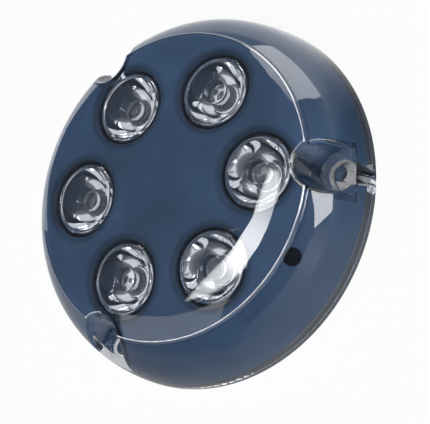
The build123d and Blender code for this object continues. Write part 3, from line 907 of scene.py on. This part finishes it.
class LIGHT_OT_back(bpy.types.Operator):
    """Give the back plate, its seals, screws and cable inlet their materials"""

    bl_idname = "underwater_light.back"
    bl_label = "Back And Cable Inlet"

    def execute(self, context):
        colours = context.scene.light_colours
        grey = plastic("back_grained_plastic", colours.back, 0.5, grain=1400.0, depth=0.05)
        rubber = plastic("seal_rubber", (0.012, 0.012, 0.013), 0.6, grain=2200.0, depth=0.02)
        steel = metal("stainless_gland", (0.58, 0.58, 0.59), 0.3)
        finishes = {
            "back_plate": grey,
            "gland_nut": grey,
            "hull_seal": rubber,
            "gland_seal": rubber,
            "base_screws": steel,
            "gland_washer": steel,
        }
        for node, material in finishes.items():
            paint(node, material)
        looks = {"grain": 700.0, "depth": 0.06, "specular": 0.1}
        compound = plastic("sealing_compound", (0.06, 0.075, 0.10), 0.5, **looks)
        show(bonded("rim_sealant", "rim_sealant_ring", compound), "sealant", "rim_sealant")
        show(bonded("base_gasket", "base_gasket_ring", rubber), "seal_rubber", "base_gasket")
        return {"FINISHED"}


PANEL_DISTANCE = 20.0


def direction(azimuth, elevation):
    """Unit vector of a direction, in degrees, azimuth counted from +X towards +Y."""
    a, e = math.radians(azimuth), math.radians(elevation)
    return Vector((math.cos(a) * math.cos(e), math.sin(a) * math.cos(e), math.sin(e)))


def panel(name, corners, faces, radiance, glows=None, seen=("diffuse", "glossy", "transmission")):
    """A far glowing panel at (azimuth, elevation) corners. Only the object sees it, by these kinds of ray."""
    mesh = bpy.data.meshes.new(name)
    mesh.from_pydata([direction(*spot) * PANEL_DISTANCE for spot in corners], [], faces)
    shares = mesh.attributes.new("glow", "FLOAT", "POINT")
    shares.data.foreach_set("value", glows or [1.0] * len(corners))
    made = bpy.data.objects.new(name, mesh)
    bpy.context.scene.collection.objects.link(made)
    material, shader, _, output, _ = new_material(name + "_glow")
    share = shader.add("ShaderNodeAttribute", attribute_name="glow").outputs["Fac"]
    strength = shader.math("MULTIPLY", share, radiance)
    glow = shader.add("ShaderNodeEmission", {"Color": (1, 1, 1, 1), "Strength": strength}).outputs[0]
    shader.tree.links.new(glow, output.inputs["Surface"])
    mesh.materials.append(material)
    made.visible_camera = made.visible_shadow = False
    made.visible_diffuse = "diffuse" in seen
    made.visible_glossy = "glossy" in seen
    made.visible_transmission = "transmission" in seen
    return made


def fan(outline):
    """The corners of a panel of this outline, with one in its middle, and its faces."""
    count = len(outline)
    middle = (sum(spot[0] for spot in outline) / count, sum(spot[1] for spot in outline) / count)
    return [*outline, middle], [(i, (i + 1) % count, count) for i in range(count)]


def ladder(outline):
    """The faces of a strip whose outline runs up one side and back down the other."""
    last = len(outline) - 1
    return [(i, i + 1, last - i - 1, last - i) for i in range(len(outline) // 2 - 1)]


def mirrored(azimuth, slope):
    """Direction, in degrees, that the crease shows to the camera where its normal has this slope."""
    spot = direction(azimuth, 0) * CREASE_RADIUS + Vector((0, 0, CREASE_HEIGHT))
    normal, view = direction(azimuth, slope), (CAMERA_PLACE - spot).normalized()
    shown = 2 * normal.dot(view) * normal - view
    return math.degrees(math.atan2(shown.y, shown.x)), math.degrees(math.asin(shown.z))


CAMERA_PLACE = Vector((0.4310, -0.2157, 0.6428))
CREASE_SPAN = range(-115, 36, 5)

# Outlines of the lamps as (azimuth, elevation) in degrees, and the share of its light at each corner of some
CREASE_PANEL = [mirrored(a, 57) for a in CREASE_SPAN] + [mirrored(a, 69) for a in reversed(CREASE_SPAN)]
FILL_PANEL = [(-170, 25), (-170, 60), (-150, 75), (-100, 78), (-50, 70), (-40, 25)]
SIDE_PANEL = [(54, -3), (53, 10), (58, 27), (70, 46), (85, 57), (94, 58)]
SIDE_PANEL += [(106, 52), (109, 43), (100, 24), (91, 7), (86, -5)]
SIDE_GLOWS = [1.0, 1.0, 1.0, 1.0, 0.75, 0.55, 0.85, 0.85, 1.0, 1.0, 1.0, 1.1]
FRONT_PANEL = [(14, 8), (14, 47), (7, 45), (-6, 35), (-17, 28), (-6, 6), (1, 9)]
BACK_PANEL = [(140, 0), (140, 21), (146, 20), (152, 17), (160, 16.5), (168, 22), (168, 0)]
BACK_GLOWS = [0.7, 0.7, 0.7, 0.9, 1.6, 0.5, 1.4, 1.1]
HIGH_STRIP = [(140, 64), (148, 65), (152.5, 65.4), (157.4, 64.9)]
HIGH_STRIP += [(162.3, 64), (166, 62.7), (170, 60.8), (174, 58.8)]
HIGH_STRIP += [(173, 61), (172.5, 64), (172, 67.3), (168, 69)]
HIGH_STRIP += [(161, 70.6), (154, 70.9), (145, 69.7), (138, 67.4)]
STRIP_GLOWS = [0.5, 0.6, 1.0, 1.25, 1.0, 0.5, 0.4, 0.35]
LOW_PANEL = [(-180, 48), (180, 53), (-177, 57), (-173, 63), (-166, 70)]
LOW_PANEL += [(-140, 66), (-143, 59), (-151, 52), (-157, 47), (-162, 41)]
HORIZON_PANEL = [(-15, 0), (-31, 0), (-55, 0), (-77, 0), (-100, 0)]
HORIZON_PANEL += [(-100, 12), (-77, 22), (-55, 26), (-31, 28), (-15, 26)]
HORIZON_GLOWS = [0.5, 1.1, 0.6, 0.45, 0.15, 0.1, 0.45, 0.6, 1.1, 0.4]

# Painted light and shade on the floor, seen only in reflections: how bright the floor looks there, by the
# azimuth of the place on it. A colour ramp holds the levels and its colours end at one, so they go in divided
# by the scale.
FLOOR_LEVELS = [(-180, 0.8), (-131, 0.38), (-100, 0.4), (-60, 0.65), (-36, 0.66), (-21, 0.56), (-12, 0.32)]
FLOOR_LEVELS += [(5, 0.06), (25, 0.06), (40, 0.5), (50, 1.06), (65, 1.4), (78, 1.3), (92, 1.1), (180, 0.8)]
FLOOR_SCALE = 2.0
FLOOR_WHITE = 0.94  # share of plain white in what the camera sees of the floor
THROUGH_WHITE = 0.95  # share of plain white in the surroundings seen through clear plastic
OPTIC_DEPTH = 4.5  # a ray with more passes through plastic than this has been through an optic


class LIGHT_OT_stage(bpy.types.Operator):
    """Make the pale floor, the soft lamps, the surroundings and the camera"""

    bl_idname = "underwater_light.stage"
    bl_label = "Floor, Lamps And Camera"

    def execute(self, context):
        scene = context.scene
        scene.view_settings.view_transform = "Standard"
        self.floor(scene)
        self.surroundings(scene)
        panel("side_panel", *fan(SIDE_PANEL), 4.4, SIDE_GLOWS, seen=("glossy",))
        panel("front_panel", *fan(FRONT_PANEL), 9.0, seen=("glossy", "transmission"))
        panel("high_strip", HIGH_STRIP, ladder(HIGH_STRIP), 12.0, STRIP_GLOWS + STRIP_GLOWS[::-1])
        panel("low_panel", *fan(LOW_PANEL), 1.4, seen=("glossy", "transmission"))
        panel("back_panel", *fan(BACK_PANEL), 3.2, BACK_GLOWS, seen=("glossy", "transmission"))
        panel("horizon_panel", HORIZON_PANEL, ladder(HORIZON_PANEL), 1.0, HORIZON_GLOWS, seen=("glossy",))
        panel("crease_panel", CREASE_PANEL, ladder(CREASE_PANEL), 7.0, seen=("glossy",))
        panel("fill_panel", *fan(FILL_PANEL), 3.4, seen=("diffuse",))
        self.camera(scene)
        return {"FINISHED"}

    def through(self, shader, path):
        """One for a ray that left clear plastic and met no dull surface before that."""
        dull = shader.math("MINIMUM", path.outputs["Diffuse Depth"], 1.0)
        clear_so_far = shader.math("SUBTRACT", 1.0, dull)
        return shader.math("MULTIPLY", path.outputs["Is Transmission Ray"], clear_so_far)

    def floor(self, scene):
        """A wide pale floor that shows white to the camera and keeps a soft shadow. In reflections it shows
        painted light and shade, and through clear plastic a painted shadow under the light.
        """
        size, level = 6.0, -0.3 * MM
        mesh = bpy.data.meshes.new("floor")
        corners = [(-size, -size, level), (size, -size, level), (size, size, level), (-size, size, level)]
        mesh.from_pydata(corners, [], [(0, 1, 2, 3)])
        floor = bpy.data.objects.new("floor", mesh)
        scene.collection.objects.link(floor)
        material, shader, surface, output, place = new_material("pale_floor")
        colour = scene.light_colours.floor
        surface.inputs["Base Color"].default_value = (*colour, 1)
        surface.inputs["Roughness"].default_value = 0.9
        surface.inputs["Specular IOR Level"].default_value = 0.0
        glow = shader.add("ShaderNodeEmission", {"Color": (1, 1, 1, 1), "Strength": 1.0}).outputs[0]
        path = shader.add("ShaderNodeLightPath")
        parts = shader.add("ShaderNodeSeparateXYZ", {0: place}).outputs
        glossy, through = path.outputs["Is Glossy Ray"], self.through(shader, path)
        # Painted light and shade: the floor's glow in reflections is set by its azimuth from FLOOR_LEVELS
        turn = shader.ramp(shader.math("ARCTAN2", parts[1], parts[0]), -math.pi, math.pi)
        painted_floor_light = shader.add("ShaderNodeValToRGB", {"Fac": turn})
        stops = painted_floor_light.color_ramp.elements
        for azimuth, bright in FLOOR_LEVELS:
            if abs(azimuth) == 180:
                stop = stops[0 if azimuth < 0 else -1]
            else:
                stop = stops.new((azimuth + 180) / 360)
            stop.color = (*[bright / FLOOR_SCALE] * 3, 1.0)
        mirrored_light = shader.math("MULTIPLY", painted_floor_light.outputs["Color"], FLOOR_SCALE)
        mirror = shader.math("MULTIPLY", glossy, mirrored_light)
        reach = shader.add("ShaderNodeVectorMath", {0: place}, operation="LENGTH").outputs["Value"]
        # Painted shadow: the floor seen through clear plastic glows darker near the light's middle, as its
        # shadow
        near, far, dark, pale = 55 * MM, 100 * MM, 0.1, 0.8
        shaded_through_glow = shader.math("MULTIPLY", through, shader.ramp(reach, near, far, dark, pale))
        strength = shader.math("ADD", shader.math("ADD", mirror, shaded_through_glow), path.outputs["Is Camera Ray"])
        shader.tree.links.new(strength, glow.node.inputs["Strength"])
        seen = shader.math("MULTIPLY", path.outputs["Is Camera Ray"], FLOOR_WHITE)
        share = shader.math("MAXIMUM", shader.math("MAXIMUM", glossy, through), seen)
        mixed = shader.add("ShaderNodeMixShader", {0: share, 1: surface.outputs[0], 2: glow})
        shader.tree.links.new(mixed.outputs[0], output.inputs["Surface"])
        mesh.materials.append(material)

    def surroundings(self, scene):
        """White to the camera and through clear plastic. To the object, pale low down and grey overhead."""
        world = bpy.data.worlds.new("studio")
        scene.world = world
        world.use_nodes = True
        tree = world.node_tree
        tree.nodes.clear()
        shader = Shader(tree)
        direction_seen = shader.add("ShaderNodeTexCoord").outputs["Generated"]
        up = shader.add("ShaderNodeSeparateXYZ", {0: direction_seen}).outputs[2]
        level = shader.ramp(up, 0.0, 0.3, 0.5, 0.09)
        path = shader.add("ShaderNodeLightPath")
        shell_only = shader.math("SUBTRACT", 1.0, shader.math("MINIMUM", path.outputs["Glossy Depth"], 1.0))
        in_optic = shader.math("GREATER_THAN", path.outputs["Transmission Depth"], OPTIC_DEPTH)
        clean = shader.math("MULTIPLY", shader.math("MAXIMUM", shell_only, in_optic), THROUGH_WHITE)
        through = shader.math("MULTIPLY", self.through(shader, path), clean)
        seen = shader.math("MAXIMUM", path.outputs["Is Camera Ray"], through)
        strength = shader.add("ShaderNodeMix", {0: seen, 2: level, 3: 1.0}, data_type="FLOAT").outputs[0]
        background = shader.add("ShaderNodeBackground", {"Color": (1, 1, 1, 1), "Strength": strength})
        output = shader.add("ShaderNodeOutputWorld")
        tree.links.new(background.outputs[0], output.inputs["Surface"])

    def camera(self, scene):
        """The photograph's camera: about 64 degrees round from the front and 53 up, slightly rolled."""
        lens = bpy.data.cameras.new("camera")
        lens.lens, lens.sensor_width = 194.07, 36.0
        lens.clip_start, lens.clip_end = 0.05, 50.0
        camera = bpy.data.objects.new("camera", lens)
        scene.collection.objects.link(camera)
        right = (0.83427, 0.02157, -0.55095)
        up = (0.12881, 0.96397, 0.23280)
        back = (0.53611, -0.26518, 0.80142)
        turn = Matrix((right, up, back)).transposed()
        camera.matrix_world = Matrix.Translation(CAMERA_PLACE) @ turn.to_4x4()
        scene.camera = camera


STEPS = [
    LIGHT_OT_housing,
    LIGHT_OT_carrier,
    LIGHT_OT_optics,
    LIGHT_OT_emitters,
    LIGHT_OT_inside,
    LIGHT_OT_back,
    LIGHT_OT_stage,
]


class LIGHT_PT_panel(bpy.types.Panel):
    """Lists the steps and the sizes and colours they use"""

    bl_label = "Underwater Light"
    bl_idname = "LIGHT_PT_panel"
    bl_space_type = "VIEW_3D"
    bl_region_type = "UI"
    bl_category = "Underwater Light"

    def draw(self, context):
        for settings in (context.scene.optic_sizes, context.scene.light_colours):
            column = self.layout.column(align=True)
            for key in settings.__annotations__:
                column.prop(settings, key)
        for step in STEPS:
            self.layout.operator(step.bl_idname)


CLASSES = [OpticSizes, LightColours, *STEPS, LIGHT_PT_panel]


def register():
    for item in CLASSES:
        bpy.utils.register_class(item)
    bpy.types.Scene.optic_sizes = bpy.props.PointerProperty(type=OpticSizes)
    bpy.types.Scene.light_colours = bpy.props.PointerProperty(type=LightColours)


def unregister():
    del bpy.types.Scene.light_colours
    del bpy.types.Scene.optic_sizes
    for item in reversed(CLASSES):
        bpy.utils.unregister_class(item)


def main():
    """Builds the whole light."""
    register()
    for step in STEPS:
        space, name = step.bl_idname.split(".")
        getattr(getattr(bpy.ops, space), name)()


if __name__ == "__main__":
    main()
